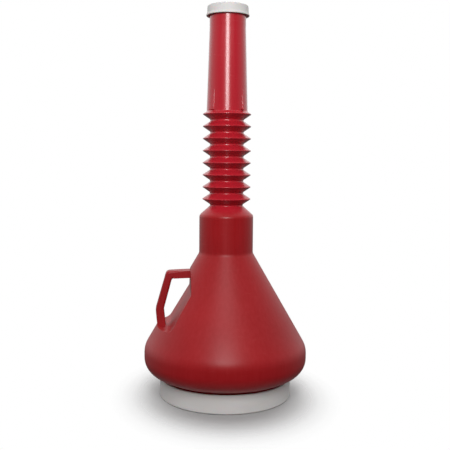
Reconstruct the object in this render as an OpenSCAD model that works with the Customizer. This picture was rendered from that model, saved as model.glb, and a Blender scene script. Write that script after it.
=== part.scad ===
// Garage funnel with a flexible spout, stored mouth down on its own snap lid.
// Z is up, the origin is the centre of the lid's base, and the handle points to -X.

/* [Mouth and lid] */
// Outside diameter of the collar round the wide mouth
mouth_d = 116.4; // [90:0.1:120]
// Height of the lid's side
lid_h = 17.4; // [14:0.1:24]
// Gap between the lid's top and the bell
lid_gap = 0.4; // [0.2:0.1:1]
// Wall of the lid's side
lid_wall = 1.9; // [1.2:0.1:3]
// Thickness of the lid where the collar stands on it
lid_floor = 2.2; // [1.5:0.1:4]
// How far the lid's middle is raised off the ground
lid_recess = 1; // [0.4:0.1:2]
// Width of the ring that the lid stands on
lid_foot_w = 11; // [8:0.5:20]
// Height of the sealing ring that goes inside the collar
lid_seal_h = 6; // [3:0.5:9]

/* [Bell] */
// Diameter of the bell at its belt
bell_d = 151.6; // [140:0.1:200]
// Height of the belt's upper edge above the ground
belt_top = 46.4; // [44:0.1:60]
// Height where the cone meets the neck
cone_top = 134; // [120:0.1:190]
// How far the bell's underside rises from the collar out to the belt
belly_rise = 8; // [2:0.1:9]
// Radius where the underside turns up into the belt
belly_round = 16; // [6:0.5:17]
// Radius where the belt turns into the cone
belt_round = 20; // [6:0.5:24]
// Wall of the bell, the neck and the collar
wall = 1.8; // [1.2:0.1:2.6]

/* [Finger pocket] */
// Depth of the pocket, level, from the side of the cone
pocket_depth = 12; // [8:0.1:14]
// Distance from the neck's side out to the pocket's upright face
pocket_step = 8.2; // [6:0.1:12]
// Height of the pocket's shelf above the belt's upper edge
pocket_rise = 19.9; // [15:0.1:24]
// Radius where the pocket's floor meets its shelf
pocket_round = 6; // [3:0.5:8]

/* [Handle] */
// Width of the handle, side to side
handle_w = 13; // [9:0.5:18]
// Distance from the belt's side in to the handle's knee
handle_inset = 10.5; // [8:0.1:14]
// Distance from the knee's side in to the handle's upper corner
handle_lean = 10; // [6:0.1:14]
// Thickness of the upright bar
handle_bar = 7.6; // [6:0.1:9]
// Thickness of the upper arm
handle_arm = 6.8; // [6:0.1:10]
// Distance from the cone's top down to the arm's upper corner
handle_drop = 16.8; // [15:0.1:24]
// Distance from the upper corner down to the knee
handle_knee = 35.3; // [26:0.1:40]
// Height of the bar's foot above the belt's upper edge, inside the bell
handle_foot = 12; // [8:0.5:14]

/* [Neck] */
// Outside diameter of the neck
neck_d = 50; // [44:0.1:60]
// Height of the neck, from the cone to the shoulder's edge
neck_h = 35; // [28:0.1:50]
// Radius of the shoulder's edge
shoulder_round = 4; // [2:0.5:5]

/* [Bellows] */
// Number of folds
folds = 8; // [4:1:8]
// Distance from one fold to the next
fold_pitch = 11.07; // [10:0.01:12]
// Diameter to the sharp line of a fold's outer edge
fold_d = 45.4; // [40:0.1:56]
// Diameter to the sharp line at the bottom of a crease
crease_d = 28.8; // [24:0.1:32]
// Height from the shoulder's edge to the middle of the first crease
first_crease = 9.5; // [8:0.1:14]
// Rounding of a fold's outer edge
fold_round = 0.6; // [0.4:0.1:1]
// Rounding at the bottom of a crease
crease_round = 1.3; // [0.8:0.1:2]
// Half the height of the flexing band at a crease
crease_h = 2.4; // [2.2:0.1:3]
// Wall of the bellows
fold_wall = 1.2; // [0.8:0.1:1.4]

/* [Spout] */
// Height from the middle of the last fold to the spout's foot
spout_foot_h = 2.4; // [2:0.1:6]
// Diameter of the spout at its foot
spout_foot_d = 37.6; // [32:0.1:42]
// Diameter of the spout at its tip
spout_tip_d = 33.1; // [28:0.1:36]
// Height from the middle of the last fold to the tip
spout_h = 95.1; // [70:0.1:140]
// Length of the straight stretch at the tip
tip_h = 18; // [14:0.5:30]
// Wall of the spout
spout_wall = 1.6; // [1.2:0.1:2.4]
// Number of ribs at the foot
ribs = 4; // [2:1:8]
// Length of a rib
rib_h = 18; // [10:0.5:30]
// Width of a rib
rib_w = 1.6; // [1:0.1:3]
// How far a rib stands out at the foot
rib_out = 1.1; // [0.5:0.1:1.5]

/* [Spout cap] */
// Height of the cap's side
cap_h = 9.2; // [7:0.1:14]
// Wall of the cap's side
cap_wall = 1.2; // [1:0.1:2.5]
// Thickness of the cap's top
cap_top = 2.1; // [1.2:0.1:3]
// How far the cap's lower lip flares out
cap_flare = 0.8; // [0.3:0.1:1.5]
// How far the cap's side narrows to its top
cap_draft = 0.3; // [0:0.1:0.8]

/* [Snap fits] */
// Height of the bead on the collar
rim_bead = 0.5; // [0.3:0.1:0.8]
// Height of the bead on the spout's tip
tip_bead = 0.4; // [0.3:0.1:0.6]
// Height of the bead inside the lid and the cap
cover_bead = 0.3; // [0.2:0.05:0.5]
// Clearance between the beads
snap_gap = 0.35; // [0.3:0.05:0.6]

/* [Strainer] */
// Clearance between the strainer and the neck
strainer_gap = 0.3; // [0.2:0.05:0.6]
// Height of the strainer's ring
strainer_h = 4; // [3:0.5:6]
// Width of the strainer's ring
strainer_rim = 3; // [2:0.5:5]
// Thickness of the strainer's gauze
gauze_t = 0.5; // [0.3:0.1:0.8]
// Width of a bar across the strainer
strainer_bar = 1.8; // [1.2:0.1:3]
// Diameter of the strainer's finger knob
knob_d = 6; // [4:0.5:10]
// Height of the strainer's finger knob
knob_h = 6; // [4:0.5:9]

/* [Hidden] */
RED = [0.6, 0.06, 0.09];
WHITE = [0.88, 0.88, 0.86];
BRASS = [0.8, 0.65, 0.35];

ROUND = 96;
arc_steps = 8;
over = 1;

mouth_r = mouth_d / 2;
bell_r = bell_d / 2;
neck_r = neck_d / 2;
fold_r = fold_d / 2;
crease_r = crease_d / 2;
tip_r = spout_tip_d / 2;
foot_r = spout_foot_d / 2;

// The moulding's sections meet this far from where its shape changes
section_step = 2.2;
section_drop = 6;

underside = lid_h + lid_gap;
collar_split = underside - section_step;
cone_split = cone_top - section_drop;
cone_slope = (bell_r - neck_r) / (cone_top - belt_top);
function cone_r(z) = bell_r - (z - belt_top) * cone_slope;

shoulder_z = cone_top + neck_h;
crease_z = [for (i = [0 : folds - 1]) shoulder_z + first_crease + i * fold_pitch];
fold_z = [for (z = crease_z) z + fold_pitch / 2];
shoulder_slope = (neck_r - crease_r) / first_crease;
fold_slope = (fold_r - crease_r) / (fold_pitch / 2);
neck_end_r = crease_r + crease_h * shoulder_slope;
fold_end_r = crease_r + crease_h * fold_slope;

spout_foot_z = fold_z[folds - 1] + spout_foot_h;
spout_split = spout_foot_z + section_step;
tip_z = fold_z[folds - 1] + spout_h;
taper_end = tip_z - tip_h;
function spout_r(z) = foot_r + (tip_r - foot_r) * (z - spout_foot_z) / (taper_end - spout_foot_z);

// Outlines. A corner is [x, y, radius]; an open wall's path runs upwards with the axis on its left.

function unit(v) = v / norm(v);
function flat(p) = [p[0], p[1]];
function turn(a) = a - 360 * round(a / 360);

function arc(middle, radius, start, sweep) = [
    for (k = [0 : arc_steps])
        middle + radius * [cos(start + sweep * k / arc_steps), sin(start + sweep * k / arc_steps)]
];

function corner(a, b, c) =
    b[2] == 0 ? [flat(b)] :
    let (
        u = unit(flat(a) - flat(b)),
        v = unit(flat(c) - flat(b)),
        half = acos(u * v) / 2,
        middle = flat(b) + unit(u + v) * b[2] / sin(half),
        from = flat(b) + u * b[2] / tan(half) - middle,
        to = flat(b) + v * b[2] / tan(half) - middle,
        start = atan2(from[1], from[0])
    )
    arc(middle, b[2], start, turn(atan2(to[1], to[0]) - start));

// An open path keeps its two ends as they are
function rounded(path) = [
    for (i = [0 : len(path) - 1])
        each i == 0 || i == len(path) - 1 ? [flat(path[i])] : corner(path[i - 1], path[i], path[i + 1])
];

// A closed outline rounds every corner that has a radius
function rounded_loop(loop) = [
    for (i = [0 : len(loop) - 1])
        each corner(loop[(i + len(loop) - 1) % len(loop)], loop[i], loop[(i + 1) % len(loop)])
];

function left_of(d) = [-d[1], d[0]];
function inset_end(p, d, t) = [p[0] - t / d[1], p[1], 0];
function inset_corner(a, b, c, t) =
    let (
        d = unit(flat(b) - flat(a)),
        e = unit(flat(c) - flat(b)),
        moved = flat(b) + t * (left_of(d) + left_of(e)) / (1 + left_of(d) * left_of(e)),
        turns_in = d[0] * e[1] - d[1] * e[0] > 0
    )
    [moved[0], moved[1], b[2] == 0 ? 0 : turns_in ? max(b[2] - t, 0) : b[2] + t];

// The inner side of a wall of thickness t, with its ends cut level
function inset(path, t) =
    let (last = len(path) - 1)
    [
        for (i = [0 : last])
            i == 0 ? inset_end(path[0], unit(flat(path[1]) - flat(path[0])), t) :
            i == last ? inset_end(path[last], unit(flat(path[last]) - flat(path[last - 1])), t) :
            inset_corner(path[i - 1], path[i], path[i + 1], t)
    ];

function backwards(list) = [for (i = [len(list) - 1 : -1 : 0]) list[i]];

module turned(outline) {
    rotate_extrude($fn = ROUND) polygon(outline);
}

module revolved_wall(path, t) {
    turned(concat(rounded(path), backwards(rounded(inset(path, t)))));
}

// A flat bead: full height over its middle third, sloping away to both sides
function bead(r, z, h, out) = [[r, z], [r + out, z + h / 3], [r + out, z + 2 * h / 3], [r, z + h]];

// Paths of the red moulding, from the collar up

collar_round = 0.6;
neck_round = 6;
foot_round = 1.5;
taper_round = 60;

bell_path = [
    [mouth_r, collar_split, 0],
    [mouth_r, underside, collar_round],
    [bell_r, underside + belly_rise, belly_round],
    [bell_r, belt_top, belt_round],
    [cone_r(cone_split), cone_split, 0]
];
neck_path = [
    [cone_r(cone_split), cone_split, 0],
    [neck_r, cone_top, neck_round],
    [neck_r, shoulder_z, shoulder_round],
    [neck_end_r, crease_z[0] - crease_h, 0]
];
last_fold_path = [
    [fold_end_r, crease_z[folds - 1] + crease_h, 0],
    [fold_r, fold_z[folds - 1], fold_round],
    [foot_r, spout_foot_z, foot_round],
    [spout_r(spout_split), spout_split, 0]
];
spout_path = [
    [spout_r(spout_split), spout_split, 0],
    [tip_r, taper_end, taper_round],
    [tip_r, tip_z, 0]
];

function crease_path(i) = [
    [i == 0 ? neck_end_r : fold_end_r, crease_z[i] - crease_h, 0],
    [crease_r, crease_z[i], crease_round],
    [fold_end_r, crease_z[i] + crease_h, 0]
];
function fold_path(i) = [
    [fold_end_r, crease_z[i] + crease_h, 0],
    [fold_r, fold_z[i], fold_round],
    [fold_end_r, crease_z[i + 1] - crease_h, 0]
];

// Mouth and lid

rim_bead_z = lid_floor + 5;
lid_bead_z = rim_bead_z + 3;
bead_h = 2;
base_round = 1.5;
lid_inner_r = mouth_r + rim_bead + snap_gap + cover_bead;
lid_outer_r = lid_inner_r + lid_wall;
seal_gap = 0.6;
seal_w = 1.5;
seal_r = mouth_r - wall - seal_gap;

module lid() {
    color(WHITE) turned(rounded_loop([
        [0, lid_recess, 0],
        [lid_outer_r - lid_foot_w - lid_recess, lid_recess, 0],
        [lid_outer_r - lid_foot_w, 0, 0],
        [lid_outer_r, 0, base_round],
        [lid_outer_r, lid_h, 0.4],
        [lid_inner_r, lid_h, 0.4],
        for (p = backwards(bead(lid_inner_r, lid_bead_z, bead_h, -cover_bead))) [p[0], p[1], 0],
        [lid_inner_r, lid_floor, 0],
        [seal_r, lid_floor, 0],
        [seal_r, lid_floor + lid_seal_h, 0.5],
        [seal_r - seal_w, lid_floor + lid_seal_h, 0.5],
        [seal_r - seal_w, lid_floor + lid_recess, 0],
        [0, lid_floor + lid_recess, 0]
    ]));
}

module mouth_rim() {
    color(RED) turned(concat(
        [[mouth_r - wall, lid_floor], [mouth_r, lid_floor]],
        bead(mouth_r, rim_bead_z, bead_h, rim_bead),
        [[mouth_r, collar_split], [mouth_r - wall, collar_split]]
    ));
}

// Bell with its finger pocket

pocket_face = neck_r + pocket_step;
pocket_shelf = belt_top + pocket_rise;
function floor_z(depth, x) = belt_top + (bell_r - depth - x) / cone_slope;

// The space of the pocket, grown into the bell by t
module pocket(t) {
    depth = pocket_depth + t * sqrt(1 + cone_slope * cone_slope);
    face = pocket_face - t;
    shelf = pocket_shelf - t;
    rotate([90, 0, 180]) linear_extrude(2 * bell_r, center = true) polygon(rounded_loop([
        [face, cone_top, 0],
        [face, floor_z(depth, face), pocket_round / 2 + t],
        [cone_r(shelf) - depth, shelf, pocket_round + t],
        [bell_r + over, shelf, 0],
        [bell_r + over, cone_top, 0]
    ]));
}

module bell_outside() {
    turned(concat([[0, collar_split]], rounded(bell_path), [[0, cone_split]]));
}

module bell_inside() {
    path = rounded(inset(bell_path, wall));
    first = path[0];
    last = path[len(path) - 1];
    turned(concat(
        [[0, first[1] - over], [first[0], first[1] - over]],
        path,
        [[last[0], last[1] + over], [0, last[1] + over]]
    ));
}

module bell() {
    color(RED) difference() {
        bell_outside();
        difference() {
            bell_inside();
            pocket(wall);
        }
        pocket(0);
    }
}

// Handle

knee_r = bell_r - handle_inset;
arm_r = knee_r - handle_lean;
arm_z = cone_top - handle_drop;
knee_z = arm_z - handle_knee;
arm_fall = 0.9;
foot_in = 2.4;

module handle() {
    color(RED) difference() {
        rotate([90, 0, 180]) linear_extrude(handle_w, center = true) polygon(rounded_loop([
            [neck_r, arm_z + arm_fall, 0],
            [neck_r, arm_z + arm_fall - handle_arm, 0],
            [arm_r - handle_bar / 1.5, arm_z - handle_arm, 2.5],
            [knee_r - handle_bar, knee_z, 8],
            [knee_r - handle_bar - foot_in, belt_top + handle_foot, 0],
            [knee_r - foot_in, belt_top + handle_foot, 0],
            [knee_r, knee_z, 9],
            [arm_r, arm_z, 4]
        ]));
        difference() {
            bell_outside();
            pocket(0);
        }
    }
}

// Neck, strainer, bellows and spout

module neck() {
    color(RED) revolved_wall(neck_path, wall);
}

strainer_r = neck_r - wall - strainer_gap;
strainer_z = shoulder_z - 3 - strainer_h;
ledge_r = strainer_r - strainer_rim / 2;
bar_h = 1.6;

module strainer_frame() {
    color(WHITE) translate([0, 0, strainer_z]) {
        turned([
            [strainer_r - strainer_rim, 0],
            [strainer_r, 0],
            [strainer_r, strainer_h],
            [ledge_r, strainer_h],
            [ledge_r, bar_h],
            [strainer_r - strainer_rim, bar_h]
        ]);
        for (a = [0, 90]) rotate(a) translate([-ledge_r, -strainer_bar / 2, 0])
            cube([2 * ledge_r, strainer_bar, bar_h]);
        translate([0, 0, -knob_h]) cylinder(h = knob_h + bar_h, d = knob_d, $fn = 48);
    }
}

module strainer_mesh() {
    color(BRASS) translate([0, 0, strainer_z + bar_h])
        cylinder(h = gauze_t, r = ledge_r - strainer_gap, $fn = ROUND);
}

// Half of a crease's flexing band: below its middle, or above it
module crease_half(i, base) {
    color(RED) intersection() {
        revolved_wall(crease_path(i), fold_wall);
        translate([0, 0, base]) cylinder(h = crease_h, r = fold_r, $fn = ROUND);
    }
}

module lower_crease(i) {
    crease_half(i, crease_z[i] - crease_h);
}

module upper_crease(i) {
    crease_half(i, crease_z[i]);
}

module fold(i) {
    color(RED) revolved_wall(i == folds - 1 ? last_fold_path : fold_path(i), fold_wall);
}

module rib() {
    rotate([90, 0, 0]) linear_extrude(rib_w, center = true) polygon([
        [spout_r(spout_split) - spout_wall / 2, spout_split],
        [spout_r(spout_split) + rib_out, spout_split],
        [spout_r(spout_split + rib_h), spout_split + rib_h],
        [spout_r(spout_split + rib_h) - spout_wall / 2, spout_split + rib_h]
    ]);
}

tip_bead_z = tip_z - 4;
cap_bead_z = tip_bead_z - 1.5;
small_bead_h = 1.2;

module spout() {
    color(RED) {
        revolved_wall(spout_path, spout_wall);
        for (k = [0 : ribs - 1]) rotate((k + 0.5) * 360 / ribs) rib();
        turned(concat(
            bead(tip_r, tip_bead_z, small_bead_h, tip_bead),
            [[tip_r - spout_wall / 2, tip_bead_z + small_bead_h], [tip_r - spout_wall / 2, tip_bead_z]]
        ));
    }
}

cap_inner_r = tip_r + tip_bead + snap_gap + cover_bead;
cap_outer_r = cap_inner_r + cap_wall;
cap_z = tip_z + cap_top - cap_h;

module spout_cap() {
    color(WHITE) turned(rounded_loop([
        [0, tip_z, 0],
        [cap_inner_r, tip_z, 0],
        for (p = backwards(bead(cap_inner_r, cap_bead_z, small_bead_h, -cover_bead))) [p[0], p[1], 0],
        [cap_inner_r, cap_z, 0.4],
        [cap_outer_r + cap_flare, cap_z, 0.4],
        [cap_outer_r + cap_flare, cap_z + 0.8, 0.4],
        [cap_outer_r, cap_z + 2.6, 1.5],
        [cap_outer_r - cap_draft, tip_z + cap_top, 1],
        [0, tip_z + cap_top, 0]
    ]));
}

lid();
mouth_rim();
bell();
handle();
neck();
strainer_frame();
strainer_mesh();
for (i = [1 : folds]) lower_crease(i - 1);
for (i = [1 : folds]) upper_crease(i - 1);
for (i = [1 : folds]) fold(i - 1);
spout();
spout_cap();
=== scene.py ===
"""Garage funnel: a blow-moulded bell with a handle, a bellows spout, and a snap cover at each end."""
import math

import bmesh
import bpy
from mathutils import Matrix, Vector


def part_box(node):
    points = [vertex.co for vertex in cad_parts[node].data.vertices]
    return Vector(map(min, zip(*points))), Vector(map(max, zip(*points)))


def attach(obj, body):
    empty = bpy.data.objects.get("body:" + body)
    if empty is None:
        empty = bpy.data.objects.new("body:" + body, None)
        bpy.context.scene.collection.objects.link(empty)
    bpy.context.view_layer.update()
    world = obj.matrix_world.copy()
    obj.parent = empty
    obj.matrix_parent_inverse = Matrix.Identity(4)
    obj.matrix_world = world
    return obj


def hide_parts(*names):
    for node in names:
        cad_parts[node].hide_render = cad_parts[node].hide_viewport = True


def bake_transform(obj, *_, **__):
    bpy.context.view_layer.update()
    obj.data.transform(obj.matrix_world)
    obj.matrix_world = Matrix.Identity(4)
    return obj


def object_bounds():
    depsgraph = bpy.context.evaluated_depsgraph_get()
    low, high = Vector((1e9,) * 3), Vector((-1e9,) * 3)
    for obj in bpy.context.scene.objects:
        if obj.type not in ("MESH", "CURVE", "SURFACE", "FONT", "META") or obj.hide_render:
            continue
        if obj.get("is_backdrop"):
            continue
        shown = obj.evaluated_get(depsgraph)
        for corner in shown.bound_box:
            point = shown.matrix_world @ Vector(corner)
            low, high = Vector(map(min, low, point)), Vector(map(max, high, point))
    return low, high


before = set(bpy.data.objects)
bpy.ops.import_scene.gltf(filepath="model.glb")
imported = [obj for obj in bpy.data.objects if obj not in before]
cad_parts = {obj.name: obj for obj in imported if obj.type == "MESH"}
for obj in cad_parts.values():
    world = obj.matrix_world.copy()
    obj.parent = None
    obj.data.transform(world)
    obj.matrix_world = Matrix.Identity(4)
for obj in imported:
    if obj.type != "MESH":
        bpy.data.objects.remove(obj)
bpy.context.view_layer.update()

# Sizes are in millimetres. Outlines are (distance from the axis, height, corner radius).

MM = 0.001
TURN = 2 * math.pi
round_steps = 160


def lowest(node):
    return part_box(node)[0].z / MM


def highest(node):
    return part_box(node)[1].z / MM


def reach(node):
    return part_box(node)[1].x / MM


folds = 8
lid_top = highest("lid")
lid_r = reach("lid")
lid_gap = 0.4
belt_r = reach("bell")
collar_foot = lowest("mouth_rim")
collar_bead = 0.5
collar_r = reach("mouth_rim") - collar_bead
underside = lid_top + lid_gap
belt_top = 46.4
cone_top = 134.0
neck_r = 25.0
shoulder = 169.0
body_wall = 1.8
cone_slope = (belt_r - neck_r) / (cone_top - belt_top)

crease_z = [highest(f"lower_crease_{i}") for i in range(1, folds + 1)]
pitch = crease_z[1] - crease_z[0]
peak_z = [z + pitch / 2 for z in crease_z]
peak_r = 22.7
crease_r = 14.4
bellows_wall = 1.2
stretch_h = 1.3
first_seam = 170.5

spout_foot = peak_z[-1] + 2.4
spout_foot_r = 18.8
tip_r = 16.55
tip_z = highest("spout")
tip_h = 18.0
taper_end = tip_z - tip_h
spout_wall = 1.6


# Outlines

def arc_corner(before, here, after, finest):
    """The points that round one corner."""
    b = Vector(here[:2])
    u = (Vector(before[:2]) - b).normalized()
    v = (Vector(after[:2]) - b).normalized()
    half = u.angle(v) / 2
    if here[2] <= 0 or half > math.radians(89.5):
        return [b]
    middle = b + (u + v).normalized() * here[2] / math.sin(half)
    reach_along = here[2] / math.tan(half)
    start = b + u * reach_along - middle
    sweep = (b + v * reach_along - middle).angle_signed(start)
    steps = max(3, math.ceil(abs(sweep) / math.radians(finest)))
    return [middle + Matrix.Rotation(sweep * k / steps, 2) @ start for k in range(steps + 1)]


def rounded(path, closed=False, finest=7):
    """The outline of a path of corners. An open path keeps its two ends."""
    points, count = [], len(path)
    for k, here in enumerate(path):
        if not closed and k in (0, count - 1):
            points.append(Vector(here[:2]))
        else:
            points += arc_corner(path[k - 1], here, path[(k + 1) % count], finest)
    return points


def left_of(d):
    return Vector((-d.y, d.x))


def inner_side(path, wall):
    """The inner side of a wall whose outer side is an open path that runs upwards."""
    flat = [Vector(p[:2]) for p in path]
    steps = [(b - a).normalized() for a, b in zip(flat, flat[1:])]
    moved = [(flat[0].x - wall / steps[0].y, flat[0].y, 0)]
    for k in range(1, len(path) - 1):
        d, e = steps[k - 1], steps[k]
        at = flat[k] + wall * (left_of(d) + left_of(e)) / (1 + left_of(d).dot(left_of(e)))
        radius = path[k][2]
        if radius:
            radius = max(radius - wall, 0) if d.cross(e) > 0 else radius + wall
        moved.append((at.x, at.y, radius))
    moved.append((flat[-1].x - wall / steps[-1].y, flat[-1].y, 0))
    return moved


def between(points, low, high):
    """The stretch of an upward outline from one level to another, cut exactly there."""
    def at(level):
        for a, b in zip(points, points[1:]):
            if a.y <= level <= b.y and b.y > a.y:
                return a.lerp(b, (level - a.y) / (b.y - a.y))
        raise ValueError(f"the outline doesn't reach {level}")

    return [at(low)] + [p for p in points if low + 1e-4 < p.y < high - 1e-4] + [at(high)]


def spaced(points, longest):
    """The same outline with no step longer than this."""
    fine = [points[0]]
    for a, b in zip(points, points[1:]):
        count = max(1, math.ceil((b - a).length / longest))
        fine += [a.lerp(b, k / count) for k in range(1, count + 1)]
    return fine


# Modelling by hand

def start_over():
    bpy.ops.object.select_all(action="DESELECT")


def active(obj):
    start_over()
    obj.select_set(True)
    bpy.context.view_layer.objects.active = obj


def edit(obj):
    active(obj)
    bpy.ops.object.mode_set(mode="EDIT")
    bpy.ops.mesh.select_mode(type="VERT")
    bpy.ops.mesh.select_all(action="SELECT")


def done():
    bpy.ops.object.mode_set(mode="OBJECT")


def drawn(name, points, closed=True):
    """An outline drawn from point to point, upright in the plane of the axis."""
    def place(p):
        return Vector((p[0] * MM, 0, p[1] * MM))

    start_over()
    bpy.ops.mesh.primitive_plane_add(size=MM, location=place(points[0]))
    bpy.ops.object.transform_apply(location=True)
    obj = bpy.context.object
    obj.name = obj.data.name = name
    edit(obj)
    bpy.ops.mesh.merge(type="CENTER")
    for a, b in zip(points, points[1:]):
        step = {"value": place(b) - place(a)}
        bpy.ops.mesh.extrude_region_move(TRANSFORM_OT_translate=step)
    bpy.ops.mesh.select_all(action="SELECT")
    if closed:
        close_outline(obj)
    return obj


def close_outline(obj):
    """Joins an outline's first point to its last."""
    mesh = bmesh.from_edit_mesh(obj.data)
    for v in mesh.verts:
        v.select_set(len(v.link_edges) < 2)
    mesh.select_flush_mode()
    bmesh.update_edit_mesh(obj.data)
    bpy.ops.mesh.edge_face_add()
    bpy.ops.mesh.select_all(action="SELECT")


def tidy(obj):
    """Closes seams and poles, and points every face outwards."""
    bpy.ops.mesh.select_all(action="SELECT")
    bpy.ops.mesh.remove_doubles(threshold=0.002 * MM)
    bpy.ops.mesh.normals_make_consistent(inside=False)
    done()
    return obj


def turned(name, points, closed=True, segments=120):
    """A solid of revolution from an outline."""
    obj = drawn(name, points, closed)
    bpy.ops.mesh.spin(steps=segments, angle=TURN, center=(0, 0, 0), axis=(0, 0, 1))
    return tidy(obj)


def prism(name, points, width):
    """An upright outline as deep as this, centred on the plane of the handle."""
    obj = drawn(name, points)
    bpy.ops.mesh.edge_face_add()
    bpy.ops.transform.translate(value=(0, -width / 2 * MM, 0))
    step = {"value": (0, width * MM, 0)}
    bpy.ops.mesh.extrude_region_move(TRANSFORM_OT_translate=step)
    return tidy(obj)


def combine(obj, other, operation):
    """Joins another solid to this one, or cuts it away."""
    active(obj)
    cut = obj.modifiers.new(operation.lower(), "BOOLEAN")
    cut.operation = operation
    cut.solver = "EXACT"
    cut.object = other
    bpy.ops.object.modifier_apply(modifier=cut.name)
    bpy.data.objects.remove(other)
    return obj


def select_sharp(obj, where, sharper_than):
    """Selects the sharp edges that lie where the test says."""
    bpy.ops.mesh.select_mode(type="EDGE")
    bpy.ops.mesh.select_all(action="DESELECT")
    bpy.ops.mesh.edges_select_sharp(sharpness=math.radians(sharper_than))
    mesh = bmesh.from_edit_mesh(obj.data)
    for e in mesh.edges:
        if e.select and not all(where(v.co / MM) for v in e.verts):
            e.select_set(False)
    bmesh.update_edit_mesh(obj.data)


def soften(obj, width, where, sharper_than, segments):
    """Rounds the sharp edges that lie where the test says, once their shortest pieces are merged."""
    edit(obj)
    select_sharp(obj, where, sharper_than)
    bpy.ops.mesh.remove_doubles(threshold=0.35 * MM)
    select_sharp(obj, where, sharper_than)
    bpy.ops.mesh.bevel(offset=width * MM, segments=segments, profile=0.5, clamp_overlap=False)
    bpy.ops.mesh.select_all(action="SELECT")
    bpy.ops.mesh.dissolve_degenerate(threshold=0.01 * MM)
    done()
    return obj


def smooth(obj, angle=32):
    active(obj)
    bpy.ops.object.shade_smooth_by_angle(angle=math.radians(angle))
    return obj


def even_shading(obj):
    """Lets the large faces set the shading, so that small rounds don't bend it."""
    active(obj)
    obj.modifiers.new("shading", "WEIGHTED_NORMAL").keep_sharp = True
    bpy.ops.object.modifier_apply(modifier="shading")
    return obj


def copy_of(obj, name, move=(0, 0, 0), turn=0):
    other = obj.copy()
    other.data = obj.data.copy()
    other.name = other.data.name = name
    bpy.context.collection.objects.link(other)
    other.data.transform(Matrix.Translation(Vector(move) * MM) @ Matrix.Rotation(turn, 4, "Z"))
    return other


def remember_place(obj):
    """Keeps where each point of the moulding was made, so that its pattern bends with it."""
    kept = obj.data.attributes.new("mould_place", "FLOAT_VECTOR", "POINT")
    for slot, v in zip(kept.data, obj.data.vertices):
        slot.vector = v.co
    return obj


# The red moulding's fixed part: collar, bell with its finger pocket, handle and neck

pocket_face = neck_r + 8.2
pocket_depth = 12.0
pocket_shelf = belt_top + 19.9
pocket_round = 6.0

flank_slope = (neck_r - crease_r) / (crease_z[0] - shoulder)


def flank_r(z):
    return neck_r - (z - shoulder) * flank_slope


def cone_r(z):
    return belt_r - (z - belt_top) * cone_slope


collar = [(collar_r, collar_foot, 0),
          (collar_r, collar_foot + 5, 0),
          (collar_r + collar_bead, collar_foot + 5.67, 0.3),
          (collar_r + collar_bead, collar_foot + 6.33, 0.3),
          (collar_r, collar_foot + 7, 0)]
belly_rise, belly_round, belt_round, collar_round, neck_round, shoulder_round = 8, 16, 20, 0.6, 6, 4
bell = [(collar_r, underside, collar_round),
        (belt_r, underside + belly_rise, belly_round),
        (belt_r, belt_top, belt_round),
        (neck_r, cone_top, neck_round),
        (neck_r, shoulder, shoulder_round),
        (flank_r(first_seam), first_seam, 0)]


def pocket_space(name, grow):
    """The fingers' space between the handle and the bell."""
    depth = pocket_depth + grow * math.hypot(1, cone_slope)
    face, shelf = pocket_face - grow, pocket_shelf - grow
    floor_top = belt_top + (belt_r - depth - face) / cone_slope
    corners = [(-face, cone_top, 0),
               (-face, floor_top, pocket_round / 2 + grow),
               (depth - cone_r(shelf), shelf, pocket_round + grow),
               (-belt_r - 1, shelf, 0),
               (-belt_r - 1, cone_top, 0)]
    return prism(name, rounded(corners, closed=True), 2 * belt_r)


def handle_grip():
    """The handle, with rounded edges and both its ends inside the bell."""
    knee = belt_r - 10.5
    top = knee - 10
    arm_z = cone_top - 16.8
    knee_z = arm_z - 35.3
    foot_z = belt_top + 12
    bar, arm_h, fall, foot_in = 7.6, 6.8, 0.9, 2.4
    width, edge_round, near = 13, 2.2, 0.1
    corners = [(-neck_r, arm_z + fall, 0),
               (-neck_r, arm_z + fall - arm_h, 0),
               (bar / 1.5 - top, arm_z - arm_h, 2.5),
               (bar - knee, knee_z, 8),
               (bar + foot_in - knee, foot_z, 0),
               (foot_in - knee, foot_z, 0),
               (-knee, knee_z, 9),
               (-top, arm_z, 4)]
    grip = prism("handle_grip", rounded(corners, closed=True), width)

    def on_sides(p):
        return abs(p.y) > width / 2 - near and p.x < -neck_r - near and p.z > foot_z + near

    return soften(grip, edge_round, on_sides, sharper_than=40, segments=4)


def body_moulding():
    outer = spaced(rounded(collar + bell), 4)
    outer = [Vector((0, collar_foot))] + outer + [Vector((0, first_seam))]
    body = turned("funnel_body", outer, closed=False, segments=round_steps)
    combine(body, pocket_space("pocket_space", 0), "DIFFERENCE")
    combine(body, handle_grip(), "UNION")
    wall_line = inner_side([(collar_r, collar_foot, 0)] + bell, body_wall)
    inner = spaced(rounded(wall_line), 4)
    hollow = [Vector((0, collar_foot - 1)), Vector((inner[0].x, collar_foot - 1))] + inner
    hollow += [Vector((inner[-1].x, first_seam + 1)), Vector((0, first_seam + 1))]
    hollow = turned("hollow", hollow, closed=False, segments=round_steps)
    combine(hollow, pocket_space("pocket_inside", body_wall), "DIFFERENCE")
    combine(body, hollow, "DIFFERENCE")
    edit(body)
    tidy(body)
    even_shading(smooth(body))
    return body


# Bellows: each crease has a short ring at its lower end, and a ring on each side of its middle. Those two
# lean round a sleeve.

def spout_r(z):
    return spout_foot_r + (tip_r - spout_foot_r) * (z - spout_foot) / (taper_end - spout_foot)


def bellows_path():
    crease_round, peak_round, foot_round, past_foot = 1.3, 0.6, 1.5, 9
    path = [(neck_r, shoulder - 5, 0), (neck_r, shoulder, shoulder_round)]
    for z in crease_z:
        path += [(crease_r, z, crease_round), (peak_r, z + pitch / 2, peak_round)]
    end = spout_foot + past_foot
    return path + [(spout_foot_r, spout_foot, foot_round), (spout_r(end), end, 0)]


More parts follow.
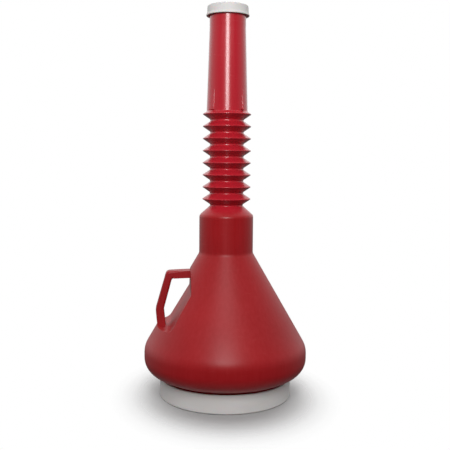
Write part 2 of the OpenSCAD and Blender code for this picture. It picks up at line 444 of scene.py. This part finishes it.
bellows_outer = spaced(rounded(bellows_path(), finest=4), 0.5)
bellows_inner = spaced(rounded(inner_side(bellows_path(), bellows_wall), finest=8), 1)


def wall_ring(name, low, high):
    """The bellows' wall from one level to another."""
    line = between(bellows_outer, low, high) + between(bellows_inner, low, high)[::-1]
    return smooth(turned(name, line))


def ring_levels(i):
    """The levels at which crease i's three rings start and end."""
    below = first_seam + stretch_h if i == 0 else peak_z[i - 1]
    return [below - stretch_h, below + stretch_h, crease_z[i], peak_z[i] - stretch_h]


def crease_sleeve(name, z):
    """A thin band of a ball round the crease's middle, which closes the wall where a bent crease opens."""
    ball_r, half_h, thick, half_steps = crease_r - 0.05, 2.6, 0.7, 8
    heights = [half_h * (k / half_steps - 1) for k in range(2 * half_steps + 1)]
    outer = [Vector((math.sqrt(ball_r ** 2 - h ** 2), z + h)) for h in heights]
    inner = [Vector((math.sqrt((ball_r - thick) ** 2 - h ** 2), z + h)) for h in heights[::-1]]
    return smooth(turned(name, outer + inner))


def bellows():
    """Three rings a crease. The first crease's and the second's are modelled, and the others are copies."""
    names = ["bellows_stretch", "bellows_lean_front", "bellows_lean_side"]
    rings = []
    for i in range(folds):
        levels = ring_levels(i)
        if i < 2:
            here = [wall_ring(f"{n}_{i + 1}", levels[k], levels[k + 1]) for k, n in enumerate(names)]
        else:
            rise = (0, 0, (i - 1) * pitch)
            here = [copy_of(rings[1][k], f"{n}_{i + 1}", rise) for k, n in enumerate(names)]
        rings.append(here)
    return rings


# Spout

def rib():
    """One of the thin ribs at the spout's foot, fading out upwards."""
    low, high = spout_foot + 0.4, spout_foot + 20
    thick, edge_round = 1.8, 0.75
    line = [(spout_foot_r - 1.2, low, 0),
            (spout_foot_r + 0.95, low + 0.4, 0.3),
            (spout_foot_r - 0.5, high, 0.3),
            (spout_foot_r - 1.6, high, 0)]
    fin = prism("rib", rounded(line, closed=True), thick)
    return soften(fin, edge_round, lambda p: p.x > spout_foot_r - 1, sharper_than=30, segments=3)


def spout():
    seam = peak_z[-1] - stretch_h
    start, bead = spout_foot + 5, tip_z - 4
    bead_r, taper_round, bore_r = tip_r + 0.4, 60, tip_r - spout_wall
    outer = between(bellows_outer, seam, start)
    outer += rounded([(spout_r(start), start, 0),
                      (tip_r, taper_end, taper_round),
                      (tip_r, bead, 0),
                      (bead_r, bead + 0.4, 0.2),
                      (bead_r, bead + 0.8, 0.2),
                      (tip_r, bead + 1.2, 0),
                      (tip_r, tip_z, 0.5),
                      (tip_r - 0.8, tip_z, 0)])[1:]
    inner = between(bellows_inner, seam, spout_foot + 1)
    inner += rounded([(inner[-1].x, inner[-1].y, 0),
                      (spout_r(start + 3) - spout_wall, start + 3, 20),
                      (bore_r, taper_end, taper_round),
                      (bore_r, tip_z, 0)])[1:]
    tube = turned("spout_tube", spaced(outer, 6) + spaced(inner, 6)[::-1])
    one = rib()
    ribs = 4
    for k in range(ribs):
        combine(tube, copy_of(one, f"rib_{k}", turn=(k + 0.5) * TURN / ribs), "UNION")
    bpy.data.objects.remove(one)
    return even_shading(smooth(tube))


# Covers

def snap_bead(r, z, h, out):
    """A bead on a skirt's inside, drawn downwards."""
    return [(r, z + h, 0), (r + out, z + 2 * h / 3, 0.2), (r + out, z + h / 3, 0.2), (r, z, 0)]


def lid():
    """The recessed cover of the mouth, with a skirt outside the collar and a seal ring inside it."""
    inner = collar_r + 1.15
    seal_r = collar_r - body_wall - 0.6
    foot_r = lid_r - 11
    recess, thick, seal_h, seal_wall = 1, 2.2, 6, 1.5
    line = [(0, recess, 0),
            (foot_r - 1.4, recess, 0.5),
            (foot_r, 0, 0.5),
            (lid_r, 0, 1.5),
            (lid_r, lid_top, 0.5),
            (inner, lid_top, 0.5)]
    line += snap_bead(inner, collar_foot + 8, 2, -0.3)
    line += [(inner, thick, 0.4),
             (seal_r, thick, 0.4),
             (seal_r, thick + seal_h, 0.6),
             (seal_r - seal_wall, thick + seal_h, 0.6),
             (seal_r - seal_wall, thick + recess, 0.5),
             (0, thick + recess, 0)]
    return smooth(turned("mouth_lid", rounded(line), closed=False, segments=round_steps))


def cap():
    """The cover of the tip, with a flared lip and a shallow dimple on top."""
    inner = tip_r + 1.05
    outer = inner + 1.2
    low, high = lowest("spout_cap"), highest("spout_cap")
    flare, draft, dimple = 0.8, 0.3, 0.4
    line = [(0, tip_z, 0), (inner, tip_z, 0.4)] + snap_bead(inner, tip_z - 5.5, 1.2, -0.3)
    line += [(inner, low, 0.4),
             (outer + flare, low, 0.35),
             (outer + flare, low + 0.8, 0.5),
             (outer, low + 2.6, 1.5),
             (outer - draft, high, 1.3),
             (5, high - 0.1, 1),
             (4, high - dimple, 0.5),
             (0, high - dimple, 0)]
    return smooth(turned("tip_cap", rounded(line), closed=False))


# Strainer

def strainer_frame():
    """The ring that stands in the neck, with two bars across it and a knob to pull."""
    bar_w, bar_h = 1.8, 1.6
    low = lowest("strainer_mesh") - bar_h
    rim = reach("strainer_frame")
    ledge, bore, ring_h = rim - 1.5, rim - 3, 4
    line = [(bore, low, 0.4),
            (rim, low, 0.5),
            (rim, low + ring_h, 0.5),
            (ledge, low + ring_h, 0.4),
            (ledge, low + bar_h, 0),
            (bore, low + bar_h, 0.3)]
    ring = turned("strainer_ring", rounded(line, closed=True))
    for k in range(2):
        start_over()
        bpy.ops.mesh.primitive_cube_add(size=1, location=(0, 0, (low + bar_h / 2) * MM))
        bar = bpy.context.object
        bar.scale = Vector((2 * ledge, bar_w, bar_h)) * MM
        bpy.ops.object.transform_apply(location=True, scale=True)
        soften(bar, 0.35, lambda p: True, sharper_than=60, segments=2)
        bar.data.transform(Matrix.Rotation(k * TURN / 4, 4, "Z"))
        combine(ring, bar, "UNION")
    base = lowest("strainer_frame")
    knob = [(0, base, 0),
            (2.4, base, 0.8),
            (3, base + 1.6, 1),
            (2.2, low, 1.2),
            (3, low + bar_h / 2, 0),
            (0, low + bar_h / 2, 0)]
    combine(ring, turned("knob", rounded(knob), closed=False, segments=48), "UNION")
    return even_shading(smooth(ring))


def strainer_gauze():
    """Woven wire: each wire passes over and under the ones that cross it."""
    middle = (lowest("strainer_mesh") + highest("strainer_mesh")) / 2
    edge = reach("strainer_mesh")
    wire_r, gap, edge_room, steps_a_gap = 0.13, 1.1, 0.1, 4
    count = int(edge / gap)
    rows = []
    for k in range(-count, count + 1):
        across = k * gap
        half = math.sqrt(edge ** 2 - across ** 2) - edge_room
        steps = max(4, round(2 * half / gap * steps_a_gap))
        start_over()
        bpy.ops.curve.primitive_bezier_curve_add()
        wire = bpy.context.object
        wire.data.splines.clear()
        spline = wire.data.splines.new("POLY")
        spline.points.add(steps)
        for n, point in enumerate(spline.points):
            along = -half + 2 * half * n / steps
            rise = wire_r * 0.9 * math.cos(math.pi * (along / gap + k))
            point.co = (along * MM, across * MM, (middle + rise) * MM, 1)
        wire.data.bevel_depth = wire_r * MM
        wire.data.bevel_resolution = 0
        wire.data.use_fill_caps = True
        bpy.ops.object.convert(target="MESH")
        rows.append(bpy.context.object)
    start_over()
    for wire in rows:
        wire.select_set(True)
    bpy.context.view_layer.objects.active = rows[0]
    bpy.ops.object.join()
    weft = bpy.context.object
    weft.name = weft.data.name = "strainer_gauze"
    bpy.ops.object.transform_apply(location=True, rotation=True, scale=True)
    warp = copy_of(weft, "warp", turn=TURN / 4)
    up = Matrix.Translation((0, 0, middle * MM))
    warp.data.transform(up @ Matrix.Scale(-1, 4, (0, 0, 1)) @ up.inverted())
    warp.data.flip_normals()
    start_over()
    warp.select_set(True)
    weft.select_set(True)
    bpy.context.view_layer.objects.active = weft
    bpy.ops.object.join()
    edit(weft)
    return smooth(tidy(weft), 60)


# Materials

class Value:
    """A shader value, so that shader maths reads as a plain expression."""

    def __init__(self, finish, socket):
        self.finish, self.socket = finish, socket

    def maths(self, operation, *values):
        return self.finish.node("Math", {"operation": operation}, dict(enumerate(values)))[0]

    def __add__(self, other):
        return self.maths("ADD", self, other)

    def __radd__(self, other):
        return self.maths("ADD", other, self)

    def __sub__(self, other):
        return self.maths("SUBTRACT", self, other)

    def __rsub__(self, other):
        return self.maths("SUBTRACT", other, self)

    def __mul__(self, other):
        return self.maths("MULTIPLY", self, other)

    def __rmul__(self, other):
        return self.maths("MULTIPLY", other, self)

    def __truediv__(self, other):
        return self.maths("DIVIDE", self, other)

    def __rtruediv__(self, other):
        return self.maths("DIVIDE", other, self)

    def __abs__(self):
        return self.maths("ABSOLUTE", self)


class Finish:
    """One procedural material."""

    def __init__(self, name, **constants):
        self.material = bpy.data.materials.new(name)
        self.material.use_nodes = True
        self.tree = self.material.node_tree
        self.shader = next(n for n in self.tree.nodes if n.type == "BSDF_PRINCIPLED")
        for socket, value in constants.items():
            self.shader.inputs[socket.replace("_", " ")].default_value = value

    def node(self, kind, settings, inputs):
        """Adds a node: its settings first, then the values or links of its sockets."""
        made = self.tree.nodes.new("ShaderNode" + kind)
        for key, value in settings.items():
            if key == "stops":
                self.set_stops(made, value)
            else:
                setattr(made, key, value)
        for key, value in inputs.items():
            self.feed(made.inputs[key], value)
        return [Value(self, s) for s in made.outputs]

    def set_stops(self, ramp, stops):
        marks = ramp.color_ramp.elements
        while len(marks) < len(stops):
            marks.new(0.5)
        for mark, (place, shade) in zip(marks, stops):
            mark.position = place
            mark.color = (shade, shade, shade, 1)

    def feed(self, socket, value):
        if isinstance(value, Value):
            self.tree.links.new(value.socket, socket)
        else:
            socket.default_value = value

    def set(self, **values):
        for key, value in values.items():
            self.feed(self.shader.inputs[key.replace("_", " ")], value)
        return self.material

    def noise(self, place, scale, detail=2, roughness=0.5):
        """Noise of about this many grains a metre, from 0 to 1."""
        inputs = {"Vector": place, "Scale": scale, "Detail": detail, "Roughness": roughness}
        return self.node("TexNoise", {}, inputs)[0]

    def ramp(self, value, *stops):
        return self.node("ValToRGB", {"stops": stops}, {0: value})[0]

    def stretched(self, place, x, y, z):
        return self.node("VectorMath", {"operation": "MULTIPLY"}, {0: place, 1: (x, y, z)})[0]

    def mix(self, factor, a, b):
        return self.node("Mix", {"data_type": "RGBA"}, {0: factor, 6: a, 7: b})[2]

    def bump(self, height, distance, strength=1, under=None):
        inputs = {"Height": height, "Distance": distance, "Strength": strength}
        if under:
            inputs["Normal"] = under
        return self.node("Bump", {}, inputs)[0]

    def axes(self, place):
        return self.node("SeparateXYZ", {}, {0: place})

    def object_place(self):
        return self.node("TexCoord", {}, {})[3]


def red_polyethylene():
    """Satin blow-moulded polyethylene: duller on the bell, glossier up the spout."""
    f = Finish("red_polyethylene", Specular_IOR_Level=0.30, Coat_Roughness=0.20)
    place = f.node("Attribute", {"attribute_name": "mould_place"}, {})[1]
    _, y, z = f.axes(place)
    height = z / (tip_z * MM)
    clouds = f.noise(place, 22, 3)
    flow = f.noise(f.stretched(place, 1, 1, 0.06), 420, 3)
    grain = f.noise(place, 1900, 2)
    dimples = f.noise(place, 380, 3)
    scuffs = f.ramp(f.noise(f.stretched(place, 1, 1, 5), 75, 4, 0.62), (0.60, 0), (0.72, 1))
    seam = f.ramp(abs(y) / (0.5 * MM), (0.0, 1), (0.85, 0))
    colour = f.mix(f.ramp(clouds, (0.3, 0), (0.7, 1)), (0.325, 0.0060, 0.0085, 1), (0.375, 0.0080, 0.0110, 1))
    # Painted light: from the shoulder up, over the bellows and spout, the red is made lighter to stand in for
    # the light on and through the thin walls there.
    painted_light_upper = f.ramp(height, (0.475, 0), (0.490, 1))
    colour = f.mix(painted_light_upper * 0.65, colour, (0.56, 0.016, 0.034, 1))
    colour = f.mix(f.ramp(flow, (0.35, 0), (0.75, 1)) * 0.16, colour, (0.50, 0.035, 0.045, 1))
    colour = f.mix(scuffs * 0.04, colour, (0.62, 0.16, 0.15, 1))
    gloss = f.ramp(height, (0.0, 0.42), (0.14, 0.42), (0.20, 0.52), (0.36, 0.46), (0.50, 0.32), (0.78, 0.25))
    rough = gloss + (grain - 0.5) * 0.10 + (clouds - 0.5) * 0.08 + scuffs * 0.04
    normal = f.bump(grain, 0.03 * MM, 0.5)
    normal = f.bump(dimples, 0.10 * MM, 0.35, normal)
    normal = f.bump(flow, 0.12 * MM, 0.30, normal)
    normal = f.bump(seam, 0.14 * MM, 0.8, normal)
    polish = f.ramp(height, (0.47, 0), (0.62, 0.55))
    return f.set(Base_Color=colour, Roughness=rough, Coat_Weight=polish, Normal=normal)


def white_polyethylene():
    """Satin injection-moulded polyethylene, slightly warm, rubbed where it stands."""
    f = Finish("white_polyethylene", Specular_IOR_Level=0.25, Subsurface_Weight=0.12, Subsurface_Scale=0.004)
    place = f.object_place()
    z = f.axes(place)[2]
    clouds = f.noise(place, 30, 3)
    grain = f.noise(place, 1600, 2)
    flow = f.noise(f.stretched(place, 1, 1, 0.1), 260, 3)
    rubs = f.ramp(f.noise(f.stretched(place, 1, 1, 8), 120, 4, 0.6), (0.60, 0), (0.74, 1))
    low = f.ramp(z / (1.2 * MM), (0.0, 1), (1.0, 0))
    colour = f.mix(f.ramp(clouds, (0.3, 0), (0.7, 1)), (0.69, 0.665, 0.65, 1), (0.73, 0.705, 0.69, 1))
    colour = f.mix(rubs * 0.10 + low * grain * 0.35, colour, (0.55, 0.52, 0.49, 1))
    rough = 0.56 + (grain - 0.5) * 0.12 + rubs * 0.10 + low * 0.15
    normal = f.bump(grain, 0.03 * MM, 0.4)
    normal = f.bump(flow, 0.10 * MM, 0.25, normal)
    return f.set(Base_Color=colour, Roughness=rough, Normal=normal)


def strainer_plastic():
    """Satin moulded plastic, off-white."""
    f = Finish("strainer_plastic", Specular_IOR_Level=0.45)
    place = f.object_place()
    clouds = f.noise(place, 60, 3)
    grain = f.noise(place, 1500, 2)
    colour = f.mix(f.ramp(clouds, (0.3, 0), (0.7, 1)), (0.74, 0.73, 0.69, 1), (0.82, 0.81, 0.78, 1))
    return f.set(Base_Color=colour, Roughness=0.36 + grain * 0.12, Normal=f.bump(grain, 0.03 * MM, 0.4))


def brass_gauze():
    """Drawn brass wire, tarnished in patches."""
    f = Finish("brass_gauze", Metallic=1.0)
    place = f.object_place()
    tarnish = f.ramp(f.noise(place, 160, 4), (0.35, 0), (0.7, 1))
    drawn_marks = f.noise(place, 5200, 2)
    colour = f.mix(tarnish, (0.80, 0.58, 0.26, 1), (0.50, 0.34, 0.15, 1))
    return f.set(Base_Color=colour, Roughness=0.26 + tarnish * 0.2 + drawn_marks * 0.1,
                 Normal=f.bump(drawn_marks, 0.01 * MM, 0.5))


def floor_painted_shadow():
    """Pale grey near the funnel and clear farther out, where the white surround takes over; the grey halo
    round the base is a painted shadow.
    """
    f = Finish("floor_painted_shadow", Roughness=0.9, Specular_IOR_Level=0.1)
    place = f.object_place()
    x, y, _ = f.axes(place)
    aside, ahead = x / 0.098, y / 0.128
    square = aside * aside + ahead * ahead
    out = square.maths("SQRT", square)
    # Painted shadow: opacity falls with this elliptical distance from the axis, so the grey floor shows as a
    # soft shadow round the base and fades into the white surround.
    painted_shadow_fade = [(0.55, 1), (0.62, 0.90), (0.70, 0.755), (0.80, 0.484), (0.90, 0.228), (1.0, 0.07), (1.1, 0)]
    clear = f.ramp(out / 2, *[(e / 2, shade) for e, shade in painted_shadow_fade])
    tone = f.noise(place, 3, 2)
    return f.set(Base_Color=f.mix(tone, (0.42, 0.42, 0.42, 1), (0.44, 0.44, 0.44, 1)), Alpha=clear)


# Put together

red, white = red_polyethylene(), white_polyethylene()


def finished(obj, material):
    obj.data.materials.clear()
    obj.data.materials.append(material)
    return obj


body = finished(remember_place(body_moulding()), red)
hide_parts("mouth_rim", "bell", "handle", "neck")
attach(body, "funnel_body")

below = "funnel_body"
for i, rings in enumerate(bellows()):
    low, up = f"lower_crease_{i + 1}", f"upper_crease_{i + 1}"
    above = f"fold_{i + 1}" if i < folds - 1 else "spout"
    levels = ring_levels(i)
    sleeve = crease_sleeve(f"crease_sleeve_{i + 1}", crease_z[i])
    for piece in rings + [sleeve]:
        finished(remember_place(piece), red)
    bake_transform(rings[0], below, low, start=(0, 0, levels[0] * MM), end=(0, 0, levels[1] * MM))
    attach(rings[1], low)
    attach(sleeve, up)
    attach(rings[2], above)
    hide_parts(low)
    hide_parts(up)
    if i > 0:
        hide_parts(below)
    below = above

tube = finished(remember_place(spout()), red)
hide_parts("fold_8", "spout")
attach(tube, "spout")

mouth_lid = finished(lid(), white)
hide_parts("lid")
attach(mouth_lid, "lid")

tip_cap = finished(cap(), white)
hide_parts("spout_cap")
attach(tip_cap, "spout_cap")

strainer = finished(strainer_frame(), strainer_plastic())
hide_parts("strainer_frame")
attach(strainer, "strainer")

gauze = finished(strainer_gauze(), brass_gauze())
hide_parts("strainer_mesh")
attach(gauze, "strainer")


# Floor, light and camera

def studio_floor():
    start_over()
    under_lid = (0, 0, -0.2 * MM)
    bpy.ops.mesh.primitive_circle_add(vertices=96, radius=0.62, fill_type="NGON", location=under_lid)
    bpy.ops.object.transform_apply(location=True)
    floor = bpy.context.object
    floor.name = "studio_floor"
    finished(floor, floor_painted_shadow())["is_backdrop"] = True


def soft_box(name, azimuth, height, distance, width, tall, power, aim_z):
    """A rectangular soft light, in metres and watts, that faces a height on the funnel's axis."""
    start_over()
    a = math.radians(azimuth)
    place = Vector((math.sin(a) * distance, -math.cos(a) * distance, height))
    bpy.ops.object.light_add(type="AREA", location=place)
    lamp = bpy.context.object
    lamp.name = name
    lamp.data.shape = "RECTANGLE"
    lamp.data.size = width
    lamp.data.size_y = tall
    lamp.data.energy = power
    lamp.rotation_euler = (Vector((0, 0, aim_z)) - place).to_track_quat("-Z", "Y").to_euler()


def surround():
    """A white surround to see, brighter behind the funnel than in front of it as light."""
    world = bpy.data.worlds.new("surround")
    bpy.context.scene.world = world
    world.use_nodes = True
    tree = world.node_tree
    back = next(n for n in tree.nodes if n.type == "BACKGROUND")
    out = next(n for n in tree.nodes if n.type == "OUTPUT_WORLD")
    place = tree.nodes.new("ShaderNodeTexCoord")
    split = tree.nodes.new("ShaderNodeSeparateXYZ")
    spread = tree.nodes.new("ShaderNodeMapRange")
    spread.inputs["From Min"].default_value = -0.7
    spread.inputs["From Max"].default_value = 0.6
    spread.inputs["To Min"].default_value = 0.10
    spread.inputs["To Max"].default_value = 1.15
    rise = tree.nodes.new("ShaderNodeMapRange")
    rise.inputs["From Min"].default_value = -0.25
    rise.inputs["From Max"].default_value = 0.15
    rise.inputs["To Min"].default_value = 0.12
    both = tree.nodes.new("ShaderNodeMath")
    both.operation = "MULTIPLY"
    tree.links.new(place.outputs["Generated"], split.inputs[0])
    tree.links.new(split.outputs["Y"], spread.inputs["Value"])
    tree.links.new(split.outputs["Z"], rise.inputs["Value"])
    tree.links.new(spread.outputs[0], both.inputs[0])
    tree.links.new(rise.outputs[0], both.inputs[1])
    tree.links.new(both.outputs[0], back.inputs["Strength"])
    seen = tree.nodes.new("ShaderNodeBackground")
    seen.inputs["Strength"].default_value = 1.0
    seen.inputs["Color"].default_value = (1, 1, 1, 1)
    back.inputs["Color"].default_value = (1, 1, 1, 1)
    pick = tree.nodes.new("ShaderNodeMixShader")
    path = tree.nodes.new("ShaderNodeLightPath")
    tree.links.new(path.outputs["Is Camera Ray"], pick.inputs[0])
    tree.links.new(back.outputs[0], pick.inputs[1])
    tree.links.new(seen.outputs[0], pick.inputs[2])
    tree.links.new(pick.outputs[0], out.inputs["Surface"])


def camera():
    """A little above the funnel's middle and to the handle's side of its front, looking slightly down."""
    azimuth, pitch_down, roll = math.radians(-4.5), math.radians(5.2), math.radians(0.47)
    distance, height, aside = 661.2, 219.8, -1.1
    bpy.ops.object.camera_add()
    cam = bpy.context.object
    cam.data.lens = 57.1
    cam.data.sensor_width = 36
    place = Vector((aside * math.cos(azimuth) + distance * math.sin(azimuth),
                    aside * math.sin(azimuth) - distance * math.cos(azimuth), height)) * MM
    cam.matrix_world = (Matrix.Translation(place) @ Matrix.Rotation(azimuth, 4, "Z")
                        @ Matrix.Rotation(math.pi / 2 - pitch_down, 4, "X") @ Matrix.Rotation(roll, 4, "Z"))
    cam.data.clip_start = 0.01
    cam.data.clip_end = 50
    bpy.context.scene.camera = cam


studio_floor()
surround()
soft_box("overhead_box", 0, 1.5, 0.35, 1.3, 1.3, 0.8, 0.17)
soft_box("strip_box", -4.5, 0.49, 0.60, 0.19, 0.34, 3.1, 0.32)
soft_box("front_box", -4.5, 0.60, 0.60, 1.0, 0.26, 0.5, 0.34)
camera()
bpy.context.scene.view_settings.view_transform = "Standard"

low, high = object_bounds()
